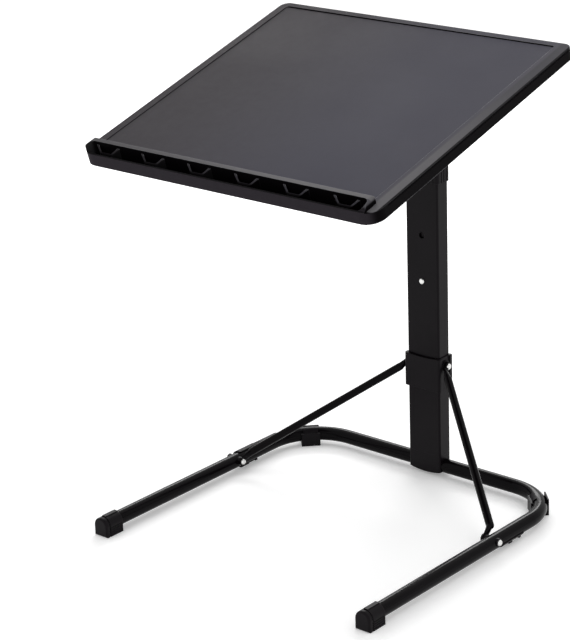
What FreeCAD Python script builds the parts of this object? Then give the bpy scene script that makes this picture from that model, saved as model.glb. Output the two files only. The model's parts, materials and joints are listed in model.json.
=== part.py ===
import FreeCAD, Part
import math
import os

from FreeCAD import Vector

# Folding laptop stand, in millimetres, +Z up, legs towards -Y.
# Pieces are shaped with the crossbar axis over the line Y = 0 and moved to the part's frame when saved.

# Floor frame: one bent tube, crossbar behind and two legs in front
tube_diameter = 22.0
tube_wall = 1.5
leg_spacing = 490.0
leg_reach = 474.6
bend_radius = 85.0
floor_gap = 5.0

# End caps on the leg tips
cap_length = 34.0
cap_wall = 2.0
cap_end = 6.0
cap_rounding = 3.0
cap_neck_start = 6.5
cap_neck_width = 2.0
cap_neck_depth = 1.2
cap_groove_depth = 1.1
cap_groove_width = 1.7
cap_groove_pitch = 3.4
cap_groove_count = 4
cap_groove_margin = 3.0
cap_ridge_width = 7.0
cap_ridge_rise = 1.2

# Corner feet snapped on the two bends
foot_length = 30.0
foot_outer_wall = 2.2
foot_inner_wall = 3.5
foot_hug = 0.8
foot_outer_height = 25.0
foot_inner_height = 21.0
foot_rounding = 1.0
foot_angle = 45.0

# Clips with small pads on the legs, behind the brace pivots
clip_offset = 8.0
clip_length = 40.0
clip_wall = 2.2
clip_wrap = 210.0
clip_pad_width = 8.0
clip_pad_stand = 2.0
clip_front_pad_start = 1.0
clip_front_pad_length = 19.0
clip_rear_pad_length = 5.0

# Braces and their pivots
brace_setback = 177.0
brace_rise = 162.5
pivot_rise = 2.5
rod_diameter = 12.0
eye_diameter = 13.5
eye_thickness = 4.0
lower_neck = 22.0
lower_neck_set = 5.0
upper_neck = 19.0
upper_neck_set = 2.5
upper_neck_flare = 10.0
neck_clearance = 0.8
neck_width = 13.0
neck_tuck = 0.4
pivot_diameter = 6.0
spacer_diameter = 12.5
spacer_stand = 1.2
rivet_head_diameter = 9.5
rivet_head_height = 3.0

# Outer post
post_width = 59.0
post_depth = 26.5
post_wall = 1.5
post_corner = 3.0
post_foot = 19.0
post_top = 491.5
lower_hole_height = 313.7
hole_pitch = 72.0
hole_clearance = 0.6

# Saddle that turns on the crossbar and plugs the outer post
saddle_drop = 1.0
saddle_bow = 3.5
saddle_plug_height = 40.0
saddle_mouth = 15.6
saddle_screw_spacing = 30.0
saddle_screw_height = 20.0

# Guide on the top of the outer post
guide_height = 25.0
guide_wall = 2.2
guide_top = 3.0
guide_liner = 30.0
guide_groove_width = 2.4
guide_groove_depth = 0.9
guide_groove_pitch = 6.0
guide_side_grooves = 3
guide_face_grooves = 9

# Collar that slides on the outer post
collar_below = 39.0
collar_above = 14.5
collar_dip = 2.0
collar_edge = 1.2
collar_side_wall = 3.4
collar_face_wall = 4.1
collar_corner = 4.0
collar_flange = 8.0
collar_channel_depth = 2.0
collar_boss_diameter = 17.0
collar_button_groove = 46.0
collar_button_relief = 2.8

# Inner post
inner_width = 52.5
inner_depth = 20.0
inner_wall = 1.5
inner_corner = 2.5
inner_bottom = 236.0
glide_height = 12.0
glide_plug = 26.0

# Snap button and its leaf spring
button_diameter = 9.0
button_flange_diameter = 12.0
button_flange = 1.2
button_stand = 2.7
button_dome = 1.7
leaf_width = 8.0
leaf_thickness = 0.6
leaf_length = 44.0
leaf_bend = 3.0

# Tilt hinge at the head of the inner post
hinge_height = 650.1
hinge_drop = 55.0
hinge_setback = 10.4
rest_tilt = 16.2
knuckle_diameter = 26.0
head_plug = 34.0
head_shoulder = 18.0
bolt_diameter = 8.0
bolt_head_diameter = 17.0
bolt_head_height = 4.5
washer_diameter = 20.0
washer_thickness = 1.2
knob_diameter = 34.0
knob_height = 18.0
knob_lobes = 6
knob_scallop = 9.0
knob_grip = 29.0
nut_across_flats = 13.0
nut_height = 6.5
head_screw_spacing = 26.0
head_screw_drop = 18.0

# Tray frame with its front lip
tray_width = 520.0
tray_depth = 465.0
tray_corner = 24.0
tray_rear_corner = 14.0
skirt_height = 17.0
skirt_wall = 3.0
rim_width = 19.0
rear_rim_width = 10.5
inner_shift = -5.0
rim_rounding = 1.0
rim_groove_drop = 1.4
rim_groove_height = 1.6
rim_groove_depth = 0.8
ledge_width = 8.0
ledge_thickness = 3.0
opening_corner = 4.0
lip_shift = -6.5
front_wall = 3.0
front_wall_rise = 1.5
trough_width = 18.5
trough_floor = 3.0
trough_end_margin = 12.0
rail_width = 8.0
rail_height = 9.5
rail_rounding = 1.2
rail_end_margin = 8.5
rail_end_rounding = 3.0
rail_end_curve = 7.0
rail_arch_rise = 7.0
lip_rib_count = 6
lip_rib_pitch = 85.0
lip_rib_shift = -10.0
lip_rib_front = 19.0
lip_rib_back = 43.0
lip_rib_wall = 2.2
lip_rib_gap = 10.0
lip_rib_toe = -5.0
lip_rib_rise = 3.8

# Tray panel with its ribs
panel_recess = 1.0
panel_gap = 0.4
panel_rear_gap = 1.2
panel_thickness = 4.0
panel_rib_height = 8.0
panel_rib_width = 2.0
panel_rib_columns = 6
panel_rib_rows = 5
panel_rib_margin = 4.0
panel_boss_diameter = 10.0
panel_screw_count = 3
panel_screw_bite = 3.0

# Bracket under the tray
bracket_plate = 2.5
bracket_width = 120.0
bracket_length = 96.0
bracket_back_margin = 2.0
cheek_thickness = 2.5
cheek_toe = 6.0
bracket_screw_inset_x = 12.0
bracket_screw_inset_t = 15.0

# Screws
screw_diameter = 3.5
screw_head_diameter = 7.0
screw_head_height = 2.2
screw_length = 9.0
dome_share = 0.9

# Clearances
snug = 0.05
slip = 0.1
slide = 0.3
glide = 0.4
swing = 0.3

# Worked out from the sizes above
tube_radius = tube_diameter / 2
axis_height = floor_gap + tube_radius
leg_x = leg_spacing / 2
collar_width = post_width + 2 * (slide + collar_side_wall)
collar_depth = post_depth + 2 * (slide + collar_face_wall)
rear_reach = max(collar_depth, knob_diameter, knuckle_diameter) / 2
crossbar_y = (leg_reach - rear_reach) / 2
pivot_height = axis_height + pivot_rise
collar_pivot_height = pivot_height + brace_rise
lower_eye_x = leg_x - tube_radius - spacer_stand - swing - eye_thickness / 2
upper_eye_x = collar_width / 2 + swing + eye_thickness / 2
neck_root = rivet_head_diameter / 2 + neck_clearance
bore_width = post_width - 2 * post_wall
bore_depth = post_depth - 2 * post_wall
hinge_t = tray_depth - hinge_setback
opening_front = front_wall + trough_width + rail_width
trough_bottom = trough_floor - skirt_height
panel_top = -panel_recess
panel_bottom = panel_top - panel_thickness
rib_bottom = panel_bottom - panel_rib_height
cheek_x = inner_width / 2 + glide

X_AXIS = Vector(1, 0, 0)
Y_AXIS = Vector(0, 1, 0)
Z_AXIS = Vector(0, 0, 1)
ORIGIN = Vector(0, 0, 0)


def block(x0, x1, y0, y1, z0, z1):
    return Part.makeBox(x1 - x0, y1 - y0, z1 - z0, Vector(x0, y0, z0))


def rod_x(radius, x0, x1, y, z):
    return Part.makeCylinder(radius, x1 - x0, Vector(x0, y, z), X_AXIS)


def rod_y(radius, y0, y1, x, z):
    return Part.makeCylinder(radius, y1 - y0, Vector(x, y0, z), Y_AXIS)


def rod_z(radius, z0, z1, x, y):
    return Part.makeCylinder(radius, z1 - z0, Vector(x, y, z0), Z_AXIS)


def upright_edges(shape):
    return [e for e in shape.Edges if e.BoundBox.ZLength > e.BoundBox.XLength + e.BoundBox.YLength]


def edges_at_height(shape, z):
    return [e for e in shape.Edges if abs(e.BoundBox.ZMin - z) < snug and abs(e.BoundBox.ZMax - z) < snug]


def rounded_block(width, depth, corner, z0, z1, y=0.0):
    body = block(-width / 2, width / 2, y - depth / 2, y + depth / 2, z0, z1)
    return body.makeFillet(corner, upright_edges(body))


def rect_tube(width, depth, corner, wall, z0, z1):
    outer = rounded_block(width, depth, corner, z0, z1)
    inner = rounded_block(width - 2 * wall, depth - 2 * wall, corner - wall, z0, z1)
    return outer.cut(inner)


def outline_face(points):
    return Part.Face(Part.makePolygon(points + [points[0]]))


def arc_radius(half_chord, rise):
    return (half_chord * half_chord + rise * rise) / (2 * rise)


def dome_head(radius, height, point, axis):
    head = Part.makeCylinder(radius, height, point, axis)
    far = point + axis * height
    rim = [e for e in head.Edges if (e.CenterOfMass - far).Length < snug]
    return head.makeFillet(height * dome_share, rim)


def mirrored(shape):
    return shape.mirror(ORIGIN, X_AXIS)


def fused(shapes):
    body = shapes[0]
    for shape in shapes[1:]:
        body = body.fuse(shape)
    return body.removeSplitter()


def save(name, shapes):
    moved = [s.translated(Vector(0, crossbar_y, 0)) for s in shapes]
    shape = moved[0] if len(moved) == 1 else Part.makeCompound(moved)
    shape.exportStep("parts/" + name + ".step")


# Bent tube of the floor frame

def frame_path(front_y):
    bend_x = leg_x - bend_radius
    chord = bend_radius * math.cos(math.radians(45))
    corner_x = bend_x + chord
    corner_y = chord - bend_radius
    z = axis_height
    left_tip = Vector(-leg_x, front_y, z)
    left_leg = Vector(-leg_x, -bend_radius, z)
    left_bar = Vector(-bend_x, 0, z)
    right_bar = Vector(bend_x, 0, z)
    right_leg = Vector(leg_x, -bend_radius, z)
    right_tip = Vector(leg_x, front_y, z)
    return Part.Wire([
        Part.makeLine(left_tip, left_leg),
        Part.Arc(left_leg, Vector(-corner_x, corner_y, z), left_bar).toShape(),
        Part.makeLine(left_bar, right_bar),
        Part.Arc(right_bar, Vector(corner_x, corner_y, z), right_leg).toShape(),
        Part.makeLine(right_leg, right_tip),
    ])


def tube_sweep(radius):
    front_y = cap_end - leg_reach
    ring = Part.Wire(Part.makeCircle(radius, Vector(-leg_x, front_y, axis_height), Y_AXIS))
    return frame_path(front_y).makePipeShell([ring], True, False)


def base_tube():
    tube = tube_sweep(tube_radius).cut(tube_sweep(tube_radius - tube_wall))
    for side in (-1, 1):
        x = side * leg_x
        low, high = x - tube_diameter, x + tube_diameter
        tube = tube.cut(rod_x(pivot_diameter / 2 + snug, low, high, -brace_setback, pivot_height))
    return tube


def arch_profile(x, y, half):
    # Flat foot on the floor, straight sides and a half-round top over the tube
    crown = Vector(x, y, axis_height + half)
    right = Vector(x + half, y, axis_height)
    left = Vector(x - half, y, axis_height)
    sides = Part.makePolygon([left, Vector(x - half, y, 0), Vector(x + half, y, 0), right])
    return Part.Face(Part.Wire(sides.Edges + [Part.Arc(right, crown, left).toShape()]))


def end_cap():
    half = tube_radius + cap_wall
    front = -leg_reach
    cap = arch_profile(leg_x, front, half).extrude(Y_AXIS * cap_length)
    nose = [e for e in cap.Edges if abs(e.BoundBox.YMax - front) < snug]
    cap = cap.makeFillet(cap_rounding, nose)
    neck = front + cap_neck_start
    body = neck + cap_neck_width
    ring = arch_profile(leg_x, neck, half + cap_wall).cut(arch_profile(leg_x, neck, half - cap_neck_depth))
    cap = cap.cut(ring.extrude(Y_AXIS * cap_neck_width))
    ridge = block(leg_x - cap_ridge_width / 2, leg_x + cap_ridge_width / 2, body,
                  front + cap_length, axis_height, axis_height + half + cap_ridge_rise)
    cap = fused([cap, ridge])
    cap = cap.cut(rod_y(tube_radius + snug, front + cap_end, front + cap_length, leg_x, axis_height))
    for i in range(cap_groove_count):
        z = cap_groove_margin + i * cap_groove_pitch
        y0 = body
        y1 = front + cap_length - cap_rounding
        for side in (-1, 1):
            x = leg_x + side * half
            groove = block(x - cap_groove_depth, x + cap_groove_depth, y0, y1, z, z + cap_groove_width)
            cap = cap.cut(groove)
    return cap


def corner_foot():
    # Block under the bend with a straight wall on each side of the tube, all cut to the bend
    outer_face = tube_radius + snug - foot_hug + foot_outer_wall
    inner_face = -tube_radius - snug - foot_inner_wall
    half = foot_length / 2
    base = block(inner_face, outer_face, -half, half, 0, axis_height)
    outer = block(outer_face - foot_outer_wall, outer_face, -half, half, 0, foot_outer_height)
    inner = block(inner_face, inner_face + foot_inner_wall, -half, half, 0, foot_inner_height)
    foot = fused([base, outer, inner])
    foot = foot.makeFillet(foot_rounding, upright_edges(foot))
    foot.rotate(ORIGIN, Z_AXIS, foot_angle)
    turn = math.radians(foot_angle)
    bend_x = leg_x - bend_radius + bend_radius * math.cos(turn)
    bend_y = bend_radius * math.sin(turn) - bend_radius
    return foot.translated(Vector(bend_x, bend_y, 0)).cut(tube_sweep(tube_radius + snug))


def leg_clip(x):
    # Snapped on the leg from its left side, which is flat where a brace passes
    front = clip_offset - brace_setback
    back = front + clip_length
    outer = tube_radius + clip_wall
    flank = x - tube_radius - spacer_stand
    sleeve = rod_y(outer, front, back, x, axis_height)
    half_pad = clip_pad_width / 2
    pad_front = front + clip_front_pad_start
    pads = [
        block(x - half_pad, x + half_pad, pad_front, pad_front + clip_front_pad_length,
              clip_pad_stand, axis_height),
        block(x - half_pad, x + half_pad, back - clip_rear_pad_length, back, clip_pad_stand, axis_height),
    ]
    clip = fused([sleeve] + pads)
    clip = clip.cut(rod_y(tube_radius + snug, front, back, x, axis_height))
    clip = clip.cut(block(x - 2 * outer, flank, front, back, 0, 2 * axis_height))
    half_wrap = math.radians(clip_wrap / 2)
    reach = 2 * outer
    mouth = outline_face([
        Vector(x, front, axis_height),
        Vector(x - reach * math.cos(half_wrap), front, axis_height + reach * math.sin(half_wrap)),
        Vector(x + 2 * reach, front, axis_height),
        Vector(x - reach * math.cos(half_wrap), front, axis_height - reach * math.sin(half_wrap)),
    ]).extrude(Y_AXIS * clip_length)
    return clip.cut(mouth)


def pivot_spacer(side):
    # Saddle washer between the round leg and a flat rivet head or brace eye
    flat = tube_radius + spacer_stand
    x0, x1 = sorted((leg_x, leg_x + side * flat))
    disc = rod_x(spacer_diameter / 2, x0, x1, -brace_setback, pivot_height)
    disc = disc.cut(rod_y(tube_radius + snug, -leg_reach, 0, leg_x, axis_height))
    hole = rod_x(pivot_diameter / 2 + snug, x0, x1, -brace_setback, pivot_height)
    return disc.cut(hole)


def leg_rivet():
    outer = leg_x + tube_radius + spacer_stand
    inner = leg_x - tube_radius - spacer_stand
    shank = rod_x(pivot_diameter / 2, inner, outer, -brace_setback, pivot_height)
    seat = Vector(outer, -brace_setback, pivot_height)
    head = dome_head(rivet_head_diameter / 2, rivet_head_height, seat, X_AXIS)
    return fused([shank, head])


# Braces

def rod_end(eye, bend, along, towards):
    # Tube end pressed flat towards its eye: an ellipse that grows into the round rod
    half_flat = eye_thickness / 2
    across = along.cross(X_AXIS)
    root = eye + along * neck_root
    flat = Part.Ellipse(root + across * (neck_width / 2), root + X_AXIS * half_flat, root)
    side = towards.cross(X_AXIS).normalize()
    lift = side.cross(towards).normalize()
    tucked = rod_diameter / 2 - neck_tuck
    round_end = Part.Ellipse(bend + side * (tucked + snug), bend + lift * tucked, bend)
    neck = Part.makeLoft([Part.Wire(flat.toShape()), Part.Wire(round_end.toShape())], True, True)
    disc = rod_x(eye_diameter / 2, eye.x - half_flat, eye.x + half_flat, eye.y, eye.z)
    return [disc, neck, Part.makeSphere(rod_diameter / 2, bend)]


def brace():
    # The rod runs a little behind the line of its eyes
    along = Vector(0, brace_setback, brace_rise).normalize()
    behind = along.cross(X_AXIS)
    lower = Vector(lower_eye_x, -brace_setback, pivot_height)
    upper = Vector(upper_eye_x, 0, collar_pivot_height)
    flush = (rod_diameter - eye_thickness) / 2
    lower_bend = lower + along * lower_neck + behind * lower_neck_set - X_AXIS * flush
    upper_bend = upper - along * upper_neck + behind * upper_neck_set + X_AXIS * upper_neck_flare
    run = upper_bend - lower_bend
    towards = Vector(run).normalize()
    straight = Part.makeCylinder(rod_diameter / 2, run.Length, lower_bend, towards)
    lower_end = rod_end(lower, lower_bend, along, towards)
    upper_end = rod_end(upper, upper_bend, -along, -towards)
    body = fused(lower_end + [straight] + upper_end[::-1])
    for eye in (lower, upper):
        hole = rod_x(pivot_diameter / 2 + snug, eye.x - eye_thickness, eye.x + eye_thickness, eye.y, eye.z)
        body = body.cut(hole)
    return body


def brace_rivet():
    # Head and short shank at the lower eye; the shank stops at the leg's spacer
    face = lower_eye_x - eye_thickness / 2
    shank = rod_x(pivot_diameter / 2, face, lower_eye_x + eye_thickness / 2, -brace_setback, pivot_height)
    seat = Vector(face, -brace_setback, pivot_height)
    head = dome_head(rivet_head_diameter / 2, rivet_head_height, seat, -X_AXIS)
    return fused([shank, head])


# Outer post and what is fixed to it

def outer_post():
    post = rect_tube(post_width, post_depth, post_corner, post_wall, axis_height + post_foot, post_top)
    for i in range(2):
        z = lower_hole_height + i * hole_pitch
        post = post.cut(rod_y(button_diameter / 2 + hole_clearance, -post_depth, 0, 0, z))
    for x in (-saddle_screw_spacing / 2, saddle_screw_spacing / 2):
        z = axis_height + post_foot + saddle_screw_height
        post = post.cut(rod_y(screw_diameter / 2 + snug, 0, post_depth, x, z))
    return post


def post_saddle():
    # Flush with the post, bowed below the crossbar, open underneath to snap on it
    outer = post_depth / 2
    top = axis_height + post_foot
    low = axis_height - tube_radius - saddle_drop
    half = post_width / 2
    shoulder = rounded_block(post_width, post_depth, post_corner, low, top)
    bow = arc_radius(half, saddle_bow)
    shoulder = shoulder.common(rod_y(bow, -outer, outer, 0, low + bow))
    plug = rounded_block(bore_width - 2 * slip, bore_depth - 2 * slip, post_corner - post_wall,
                         axis_height + tube_radius, top + saddle_plug_height)
    body = fused([shoulder, plug])
    body = body.cut(rod_x(tube_radius + snug, -half, half, 0, axis_height))
    body = body.cut(block(-half, half, -saddle_mouth / 2, saddle_mouth / 2, 0, axis_height))
    for x in (-saddle_screw_spacing / 2, saddle_screw_spacing / 2):
        z = top + saddle_screw_height
        body = body.cut(rod_y(screw_diameter / 2 + snug, outer - screw_length, outer, x, z))
    return body


def screw(x, y, z, axis, length):
    # Pan head on its seat, shank along the axis into the piece
    point = Vector(x, y, z)
    shank = Part.makeCylinder(screw_diameter / 2, length, point, axis)
    head = dome_head(screw_head_diameter / 2, screw_head_height, point, -axis)
    return fused([shank, head])


def saddle_screws():
    z = axis_height + post_foot + saddle_screw_height
    return [screw(x, post_depth / 2, z, -Y_AXIS, screw_length)
            for x in (-saddle_screw_spacing / 2, saddle_screw_spacing / 2)]


def post_guide():
    top = post_top + guide_top
    low = top - guide_height
    width = post_width + 2 * (slip + guide_wall)
    depth = post_depth + 2 * (slip + guide_wall)
    cap = rounded_block(width, depth, post_corner + guide_wall, low, top)
    cap = cap.makeFillet(guide_wall / 2, edges_at_height(cap, top))
    cap = cap.cut(rounded_block(post_width + 2 * slip, post_depth + 2 * slip, post_corner, low, post_top))
    liner = rounded_block(bore_width - 2 * slip, bore_depth - 2 * slip, post_corner - post_wall,
                          post_top - guide_liner, post_top)
    cap = fused([cap, liner])
    passage = rounded_block(inner_width + 2 * glide, inner_depth + 2 * glide, inner_corner,
                            post_top - guide_liner, top)
    cap = cap.cut(passage)
    groove_top = top - guide_wall
    for i in range(guide_side_grooves):
        y = (i - (guide_side_grooves - 1) / 2) * guide_groove_pitch
        for x in (-width / 2, width / 2):
            cap = cap.cut(block(x - guide_groove_depth, x + guide_groove_depth, y - guide_groove_width / 2,
                                y + guide_groove_width / 2, low, groove_top))
    for i in range(guide_face_grooves):
        x = (i - (guide_face_grooves - 1) / 2) * guide_groove_pitch
        for y in (-depth / 2, depth / 2):
            cap = cap.cut(block(x - guide_groove_width / 2, x + guide_groove_width / 2,
                                y - guide_groove_depth, y + guide_groove_depth, low, groove_top))
    return cap


# Collar on the outer post

def brace_collar():
    low = collar_pivot_height - collar_below
    top = collar_pivot_height + collar_above
    body = rounded_block(collar_width, collar_depth, collar_corner, low, top)
    half_depth = collar_depth / 2
    dip = arc_radius(collar_width / 2, collar_dip)
    body = body.cut(rod_y(dip, -half_depth, half_depth, 0, top + dip - collar_dip))
    body = body.makeFillet(collar_edge, [e for e in body.Edges if e.BoundBox.ZMin > top - 2 * collar_dip])
    for side in (-1, 1):
        x = side * collar_width / 2
        x0, x1 = sorted((x, x - side * collar_channel_depth))
        channel = block(x0, x1, collar_flange - half_depth, half_depth - collar_flange, low, top)
        boss = rod_x(collar_boss_diameter / 2, x0, x1, 0, collar_pivot_height)
        body = body.cut(channel.cut(boss))
        hole = rod_x(pivot_diameter / 2 + snug, min(0, x), max(0, x), 0, collar_pivot_height)
        body = body.cut(hole)
    sleeve = rounded_block(post_width + 2 * slide, post_depth + 2 * slide, post_corner + slide, low, top)
    groove = block(-collar_button_groove / 2, collar_button_groove / 2,
                   -post_depth / 2 - slide - collar_button_relief, 0, low, top)
    return body.cut(sleeve).cut(groove)


def collar_bolt():
    inner = post_width / 2 + slide
    outer = upper_eye_x + eye_thickness / 2 + slip
    shank = rod_x(pivot_diameter / 2, inner, outer, 0, collar_pivot_height)
    seat = Vector(outer, 0, collar_pivot_height)
    head = dome_head(rivet_head_diameter / 2, rivet_head_height, seat, X_AXIS)
    return fused([shank, head])


# Inner post and what it carries

def inner_post():
    top = hinge_height - head_shoulder
    post = rect_tube(inner_width, inner_depth, inner_corner, inner_wall, inner_bottom, top)
    post = post.cut(rod_y(button_diameter / 2 + hole_clearance, -inner_depth, 0, 0, lower_hole_height))
    for x in (-head_screw_spacing / 2, head_screw_spacing / 2):
        post = post.cut(rod_y(screw_diameter / 2 + snug, 0, inner_depth, x, top - head_screw_drop))
    return post


def inner_plug(z0, z1):
    width = inner_width - 2 * (inner_wall + slip)
    depth = inner_depth - 2 * (inner_wall + slip)
    return rounded_block(width, depth, inner_corner - inner_wall, z0, z1)


def post_glide():
    shoe = rounded_block(bore_width - 2 * glide, bore_depth - 2 * glide, post_corner - post_wall,
                         inner_bottom - glide_height, inner_bottom)
    return fused([shoe, inner_plug(inner_bottom, inner_bottom + glide_plug)])


def post_head():
    seat = hinge_height - head_shoulder
    half = inner_width / 2
    neck = block(-half, half, -inner_depth / 2, inner_depth / 2, seat, hinge_height)
    knuckle = rod_x(knuckle_diameter / 2, -half, half, 0, hinge_height)
    body = fused([neck, knuckle, inner_plug(seat - head_plug, seat)])
    body = body.cut(rod_x(bolt_diameter / 2 + snug, -half, half, 0, hinge_height))
    face = inner_depth / 2
    for x in (-head_screw_spacing / 2, head_screw_spacing / 2):
        z = seat - head_screw_drop
        body = body.cut(rod_y(screw_diameter / 2 + snug, face - screw_length, face, x, z))
    return body


def head_screws():
    z = hinge_height - head_shoulder - head_screw_drop
    return [screw(x, inner_depth / 2, z, -Y_AXIS, screw_length)
            for x in (-head_screw_spacing / 2, head_screw_spacing / 2)]


def washer_seat():
    return cheek_x + cheek_thickness + slip


def hinge_bolt():
    head_face = washer_seat() + washer_thickness + slip
    tip = -(washer_seat() + washer_thickness + knob_height)
    shank = rod_x(bolt_diameter / 2, tip, head_face, 0, hinge_height)
    head = dome_head(bolt_head_diameter / 2, bolt_head_height, Vector(head_face, 0, hinge_height), X_AXIS)
    return fused([shank, head])


def hinge_washer():
    x0 = washer_seat()
    x1 = x0 + washer_thickness
    disc = rod_x(washer_diameter / 2, x0, x1, 0, hinge_height)
    return disc.cut(rod_x(bolt_diameter / 2 + snug, x0, x1, 0, hinge_height))


def knob_face():
    return -(washer_seat() + washer_thickness + slip)


def hex_prism(across_flats, x0, x1):
    corner = across_flats / math.sqrt(3)
    points = []
    for i in range(6):
        turn = math.radians(60 * i)
        points.append(Vector(x0, corner * math.cos(turn), hinge_height + corner * math.sin(turn)))
    return outline_face(points).extrude(X_AXIS * (x1 - x0))


def tilt_knob():
    face = knob_face()
    back = face - knob_height
    body = rod_x(knob_diameter / 2, back, face, 0, hinge_height)
    reach = knob_grip / 2 + knob_scallop
    for i in range(knob_lobes):
        turn = math.radians(360.0 * i / knob_lobes)
        y = reach * math.cos(turn)
        z = hinge_height + reach * math.sin(turn)
        body = body.cut(rod_x(knob_scallop, back, face, y, z))
    body = body.cut(rod_x(bolt_diameter / 2 + slip, back, face, 0, hinge_height))
    return body.cut(hex_prism(nut_across_flats + 2 * slip, face - nut_height, face))


def knob_nut():
    face = knob_face()
    nut = hex_prism(nut_across_flats, face - nut_height, face)
    return nut.cut(rod_x(bolt_diameter / 2 + snug, face - nut_height, face, 0, hinge_height))


def snap_button():
    wall_inside = inner_wall - inner_depth / 2
    seat = wall_inside + slip
    tip = -post_depth / 2 - button_stand
    stem = rod_y(button_diameter / 2, tip, seat, 0, lower_hole_height)
    rim = [e for e in stem.Edges if abs(e.BoundBox.YMax - tip) < snug]
    stem = stem.makeFillet(button_dome, rim)
    flange = rod_y(button_flange_diameter / 2, seat, seat + button_flange, 0, lower_hole_height)
    return fused([stem, flange])


def button_spring():
    # Leaf behind the button, bent below and sprung back against the rear wall
    half = leaf_thickness / 2
    front_y = inner_wall - inner_depth / 2 + 2 * slip + button_flange + half
    back_y = inner_depth / 2 - inner_wall - slip - half
    top = lower_hole_height + button_flange_diameter / 2
    low = top - leaf_length
    lean = (back_y - front_y - 2 * leaf_bend) / leaf_length
    start = Vector(0, front_y, top)
    bend_a = Vector(0, front_y, low)
    bend_mid = Vector(0, front_y + leaf_bend, low - leaf_bend)
    bend_b = Vector(0, front_y + 2 * leaf_bend, low)
    end = Vector(0, bend_b.y + lean * leaf_length, top)
    path = Part.Wire([
        Part.makeLine(start, bend_a),
        Part.Arc(bend_a, bend_mid, bend_b).toShape(),
        Part.makeLine(bend_b, end),
    ])
    section = Part.makePolygon([
        start + Vector(-leaf_width / 2, -half, 0),
        start + Vector(leaf_width / 2, -half, 0),
        start + Vector(leaf_width / 2, half, 0),
        start + Vector(-leaf_width / 2, half, 0),
        start + Vector(-leaf_width / 2, -half, 0),
    ])
    return path.makePipeShell([section], True, False)


# Tray, shaped flat with its front edge at Y = 0 and the top of its rim at Z = 0

def seat_tray(shape):
    placed = shape.translated(Vector(0, -hinge_t, hinge_drop))
    placed.rotate(ORIGIN, X_AXIS, rest_tilt)
    return placed.translated(Vector(0, 0, hinge_height))


def tray_prism(inset, front, front_corner, n0, n1):
    half = tray_width / 2 - inset
    body = block(-half, half, front, tray_depth - inset, n0, n1)
    fore = [e for e in upright_edges(body) if e.CenterOfMass.y < tray_depth / 2]
    body = body.makeFillet(front_corner, fore)
    aft = [e for e in upright_edges(body) if e.CenterOfMass.y > tray_depth / 2]
    return body.makeFillet(tray_rear_corner - inset, aft)


def lip_trough():
    radius = trough_width / 2
    end = tray_width / 2 - trough_end_margin - radius
    middle = front_wall + radius
    top = rail_height + rim_rounding
    left = lip_shift - end
    right = lip_shift + end
    slot = block(left, right, front_wall, front_wall + trough_width, trough_bottom, top)
    ends = [rod_z(radius, trough_bottom, top, x, middle) for x in (left, right)]
    return fused([slot] + ends)


def lip_rail():
    # Front wall and the stop rail behind the trough, arched together where they close the trough's ends
    half = tray_width / 2 - rail_end_margin
    front = front_wall + trough_width
    back = front + rail_width
    x = lip_shift - half
    sill = Vector(x, front_wall, front_wall_rise)
    hump = Vector(x, front_wall + trough_width / 3, rail_arch_rise)
    crown = Vector(x, front, rail_height)
    sides = Part.makePolygon([
        crown,
        Vector(x, back, rail_height),
        Vector(x, back, trough_bottom),
        Vector(x, 0, trough_bottom),
        Vector(x, 0, front_wall_rise),
        sill,
    ])
    profile = Part.Face(Part.Wire(sides.Edges + [Part.Arc(sill, hump, crown).toShape()]))
    lip = profile.extrude(X_AXIS * (2 * half))
    ends = [e for e in upright_edges(lip) if abs(e.BoundBox.YMin - back) < snug]
    lip = lip.makeFillet(rail_end_rounding, ends)
    crest = [e for e in edges_at_height(lip, rail_height) if e.BoundBox.YMax > front + snug]
    lip = lip.makeFillet(rail_rounding, crest)
    fall = block(x, x + 2 * half, 0, back, trough_bottom, rail_height)
    corners = [e for e in edges_at_height(fall, rail_height) if e.BoundBox.XLength < snug]
    lip = lip.common(fall.makeFillet(rail_end_curve, corners))
    return lip.common(tray_prism(0, 0, tray_corner, trough_bottom, rail_height))


def lip_rib(x):
    # Thin wall of trapezium plan in the trough, open to the rail, its top falling towards the front
    near = front_wall + lip_rib_gap
    far = front_wall + trough_width
    outer = [(-lip_rib_back / 2, far), (-lip_rib_front / 2, near),
             (lip_rib_front / 2, near), (lip_rib_back / 2, far)]
    lean = math.atan2((lip_rib_back - lip_rib_front) / 2, far - near)
    shift = lip_rib_wall / math.cos(lean)
    inner_half = lip_rib_front / 2 + lip_rib_wall * math.tan(lean) - shift
    inner = [(lip_rib_back / 2 - shift, far), (inner_half, near + lip_rib_wall),
             (-inner_half, near + lip_rib_wall), (shift - lip_rib_back / 2, far)]
    plan = outline_face([Vector(x + u, t, trough_bottom) for u, t in outer + inner])
    wall = plan.extrude(Z_AXIS * (lip_rib_rise - trough_bottom))
    left = x - lip_rib_back / 2
    slope = outline_face([
        Vector(left, far, lip_rib_rise),
        Vector(left, near, lip_rib_rise),
        Vector(left, near, lip_rib_toe),
    ]).extrude(X_AXIS * lip_rib_back)
    return wall.cut(slope)


def tray_opening(inset, rear_inset, n0, n1):
    corner = max(opening_corner - inset, slide)
    width = tray_width - 2 * (rim_width + inset)
    front = opening_front + inset
    back = tray_depth - rear_rim_width - rear_inset
    opening = rounded_block(width, back - front, corner, n0, n1, (front + back) / 2)
    return opening.translated(X_AXIS * inner_shift)


def rim_groove():
    # Dark line under the edge of the rim, from the lip round the back
    top = -rim_groove_drop
    low = top - rim_groove_height
    ring = tray_prism(0, opening_front, rim_groove_depth, low, top)
    return ring.cut(tray_prism(rim_groove_depth, opening_front, rim_groove_depth, low, top))


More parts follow.
